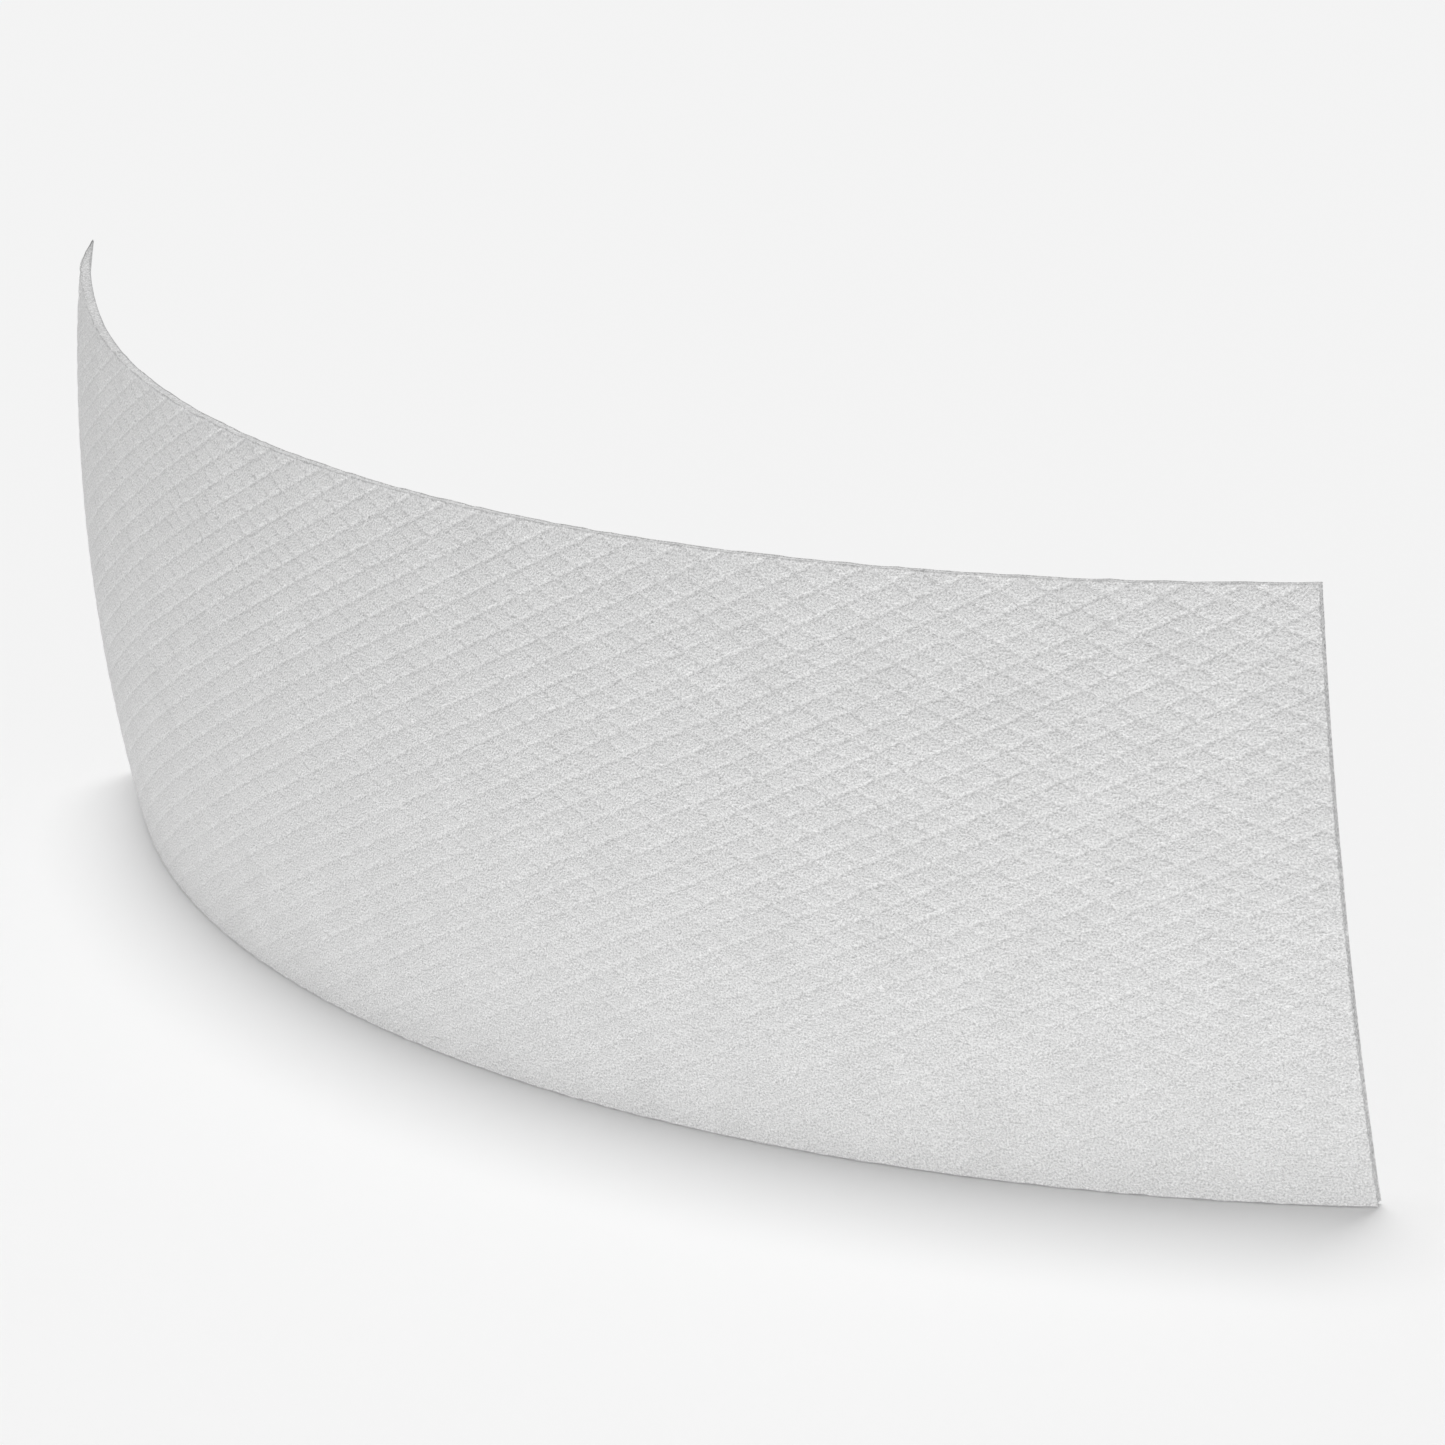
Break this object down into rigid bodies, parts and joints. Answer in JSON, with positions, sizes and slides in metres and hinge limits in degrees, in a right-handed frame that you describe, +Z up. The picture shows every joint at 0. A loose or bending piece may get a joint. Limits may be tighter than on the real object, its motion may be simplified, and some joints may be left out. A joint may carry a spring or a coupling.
{
  "type": "foam sleeping pad",
  "caption": "Long thin rectangular foam pad with a lozenge-embossed face, standing on one long edge in an open curl that flattens out or curls up.",
  "frame": {"origin": "centre of the bounding box's floor, under the open curl, in the plane that the long lower edge stands on", "axes": "+Z up along the pad's width, +X along the middle strip towards strip 01; the embossed face looks towards -Y"},
  "size_m": [1.8024, 0.2722, 0.5],
  "materials": {
    "embossed_skin": "matte, fine pebbled, lozenge embossed",
    "cut_foam": "matte closed-cell cut face",
    "plain_skin": "matte, fine pebbled"
  },
  "bodies": {
    "strip_01": {"face_skin_01": "embossed_skin", "foam_core_01": "cut_foam", "back_skin_01": "plain_skin"},
    "strip_02": {"face_skin_02": "embossed_skin", "foam_core_02": "cut_foam", "back_skin_02": "plain_skin"},
    "strip_03": {"face_skin_03": "embossed_skin", "foam_core_03": "cut_foam", "back_skin_03": "plain_skin"},
    "strip_04": {"face_skin_04": "embossed_skin", "foam_core_04": "cut_foam", "back_skin_04": "plain_skin"},
    "strip_05": {"face_skin_05": "embossed_skin", "foam_core_05": "cut_foam", "back_skin_05": "plain_skin"},
    "strip_06": {"face_skin_06": "embossed_skin", "foam_core_06": "cut_foam", "back_skin_06": "plain_skin"},
    "strip_07": {"face_skin_07": "embossed_skin", "foam_core_07": "cut_foam", "back_skin_07": "plain_skin"},
    "strip_08": {"face_skin_08": "embossed_skin", "foam_core_08": "cut_foam", "back_skin_08": "plain_skin"},
    "strip_09": {"face_skin_09": "embossed_skin", "foam_core_09": "cut_foam", "back_skin_09": "plain_skin"},
    "strip_10": {"face_skin_10": "embossed_skin", "foam_core_10": "cut_foam", "back_skin_10": "plain_skin"},
    "strip_11": {"face_skin_11": "embossed_skin", "foam_core_11": "cut_foam", "back_skin_11": "plain_skin"},
    "strip_12": {"face_skin_12": "embossed_skin", "foam_core_12": "cut_foam", "back_skin_12": "plain_skin"},
    "strip_13": {"face_skin_13": "embossed_skin", "foam_core_13": "cut_foam", "back_skin_13": "plain_skin"},
    "strip_14": {"face_skin_14": "embossed_skin", "foam_core_14": "cut_foam", "back_skin_14": "plain_skin"},
    "strip_15": {"face_skin_15": "embossed_skin", "foam_core_15": "cut_foam", "back_skin_15": "plain_skin"},
    "strip_16": {"face_skin_16": "embossed_skin", "foam_core_16": "cut_foam", "back_skin_16": "plain_skin"},
    "strip_17": {"face_skin_17": "embossed_skin", "foam_core_17": "cut_foam", "back_skin_17": "plain_skin"},
    "strip_18": {"face_skin_18": "embossed_skin", "foam_core_18": "cut_foam", "back_skin_18": "plain_skin"},
    "strip_19": {"face_skin_19": "embossed_skin", "foam_core_19": "cut_foam", "back_skin_19": "plain_skin"}
  },
  "joints": [
    {"name": "curl_01", "type": "hinge", "parent": "strip_02", "child": "strip_01", "pos_m": [0.81375, 0.07881, 0.25], "axis": [0, 0, 1], "range_deg": [-4, 14.72], "stiffness_Nm_per_rad": 0.42},
    {"name": "curl_02", "type": "hinge", "parent": "strip_03", "child": "strip_02", "pos_m": [0.72549, 0.03179, 0.25], "axis": [0, 0, 1], "range_deg": [-3.85, 14.15], "stiffness_Nm_per_rad": 0.42},
    {"name": "curl_03", "type": "hinge", "parent": "strip_04", "child": "strip_03", "pos_m": [0.63428, -0.00921, 0.25], "axis": [0, 0, 1], "range_deg": [-3.71, 13.65], "stiffness_Nm_per_rad": 0.42},
    {"name": "curl_04", "type": "hinge", "parent": "strip_05", "child": "strip_04", "pos_m": [0.54061, -0.04422, 0.25], "axis": [0, 0, 1], "range_deg": [-3.6, 13.23], "stiffness_Nm_per_rad": 0.42},
    {"name": "curl_05", "type": "hinge", "parent": "strip_06", "child": "strip_05", "pos_m": [0.44493, -0.07329, 0.25], "axis": [0, 0, 1], "range_deg": [-3.5, 12.87], "stiffness_Nm_per_rad": 0.42},
    {"name": "curl_06", "type": "hinge", "parent": "strip_07", "child": "strip_06", "pos_m": [0.34765, -0.09647, 0.25], "axis": [0, 0, 1], "range_deg": [-3.42, 12.58], "stiffness_Nm_per_rad": 0.42},
    {"name": "curl_07", "type": "hinge", "parent": "strip_08", "child": "strip_07", "pos_m": [0.24917, -0.11381, 0.25], "axis": [0, 0, 1], "range_deg": [-3.36, 12.37], "stiffness_Nm_per_rad": 0.42},
    {"name": "curl_08", "type": "hinge", "parent": "strip_09", "child": "strip_08", "pos_m": [0.14983, -0.12534, 0.25], "axis": [0, 0, 1], "range_deg": [-3.32, 12.23], "stiffness_Nm_per_rad": 0.42},
    {"name": "curl_09", "type": "hinge", "parent": "strip_10", "child": "strip_09", "pos_m": [0.05, -0.1311, 0.25], "axis": [0, 0, 1], "range_deg": [-3.3, 12.15], "stiffness_Nm_per_rad": 0.42},
    {"name": "curl_10", "type": "hinge", "parent": "strip_10", "child": "strip_11", "pos_m": [-0.05, -0.1311, 0.25], "axis": [0, 0, -1], "range_deg": [-3.3, 12.16], "stiffness_Nm_per_rad": 0.42},
    {"name": "curl_11", "type": "hinge", "parent": "strip_11", "child": "strip_12", "pos_m": [-0.14983, -0.12534, 0.25], "axis": [0, 0, -1], "range_deg": [-3.32, 12.23], "stiffness_Nm_per_rad": 0.42},
    {"name": "curl_12", "type": "hinge", "parent": "strip_12", "child": "strip_13", "pos_m": [-0.24917, -0.11381, 0.25], "axis": [0, 0, -1], "range_deg": [-3.36, 12.37], "stiffness_Nm_per_rad": 0.42},
    {"name": "curl_13", "type": "hinge", "parent": "strip_13", "child": "strip_14", "pos_m": [-0.34765, -0.09647, 0.25], "axis": [0, 0, -1], "range_deg": [-3.42, 12.58], "stiffness_Nm_per_rad": 0.42},
    {"name": "curl_14", "type": "hinge", "parent": "strip_14", "child": "strip_15", "pos_m": [-0.44493, -0.07329, 0.25], "axis": [0, 0, -1], "range_deg": [-3.5, 12.87], "stiffness_Nm_per_rad": 0.42},
    {"name": "curl_15", "type": "hinge", "parent": "strip_15", "child": "strip_16", "pos_m": [-0.54061, -0.04422, 0.25], "axis": [0, 0, -1], "range_deg": [-3.6, 13.23], "stiffness_Nm_per_rad": 0.42},
    {"name": "curl_16", "type": "hinge", "parent": "strip_16", "child": "strip_17", "pos_m": [-0.63428, -0.00921, 0.25], "axis": [0, 0, -1], "range_deg": [-3.71, 13.65], "stiffness_Nm_per_rad": 0.42},
    {"name": "curl_17", "type": "hinge", "parent": "strip_17", "child": "strip_18", "pos_m": [-0.72549, 0.03179, 0.25], "axis": [0, 0, -1], "range_deg": [-3.85, 14.15], "stiffness_Nm_per_rad": 0.42},
    {"name": "curl_18", "type": "hinge", "parent": "strip_18", "child": "strip_19", "pos_m": [-0.81375, 0.07881, 0.25], "axis": [0, 0, -1], "range_deg": [-4, 14.72], "stiffness_Nm_per_rad": 0.42}
  ],
  "couplings": [
    {"joint": "curl_01", "follows": "curl_09", "ratio": 1.2112},
    {"joint": "curl_02", "follows": "curl_09", "ratio": 1.1643},
    {"joint": "curl_03", "follows": "curl_09", "ratio": 1.1232},
    {"joint": "curl_04", "follows": "curl_09", "ratio": 1.088},
    {"joint": "curl_05", "follows": "curl_09", "ratio": 1.0587},
    {"joint": "curl_06", "follows": "curl_09", "ratio": 1.0352},
    {"joint": "curl_07", "follows": "curl_09", "ratio": 1.0176},
    {"joint": "curl_08", "follows": "curl_09", "ratio": 1.0059},
    {"joint": "curl_10", "follows": "curl_09", "ratio": 1},
    {"joint": "curl_11", "follows": "curl_09", "ratio": 1.0059},
    {"joint": "curl_12", "follows": "curl_09", "ratio": 1.0176},
    {"joint": "curl_13", "follows": "curl_09", "ratio": 1.0352},
    {"joint": "curl_14", "follows": "curl_09", "ratio": 1.0587},
    {"joint": "curl_15", "follows": "curl_09", "ratio": 1.088},
    {"joint": "curl_16", "follows": "curl_09", "ratio": 1.1232},
    {"joint": "curl_17", "follows": "curl_09", "ratio": 1.1643},
    {"joint": "curl_18", "follows": "curl_09", "ratio": 1.2112}
  ]
}
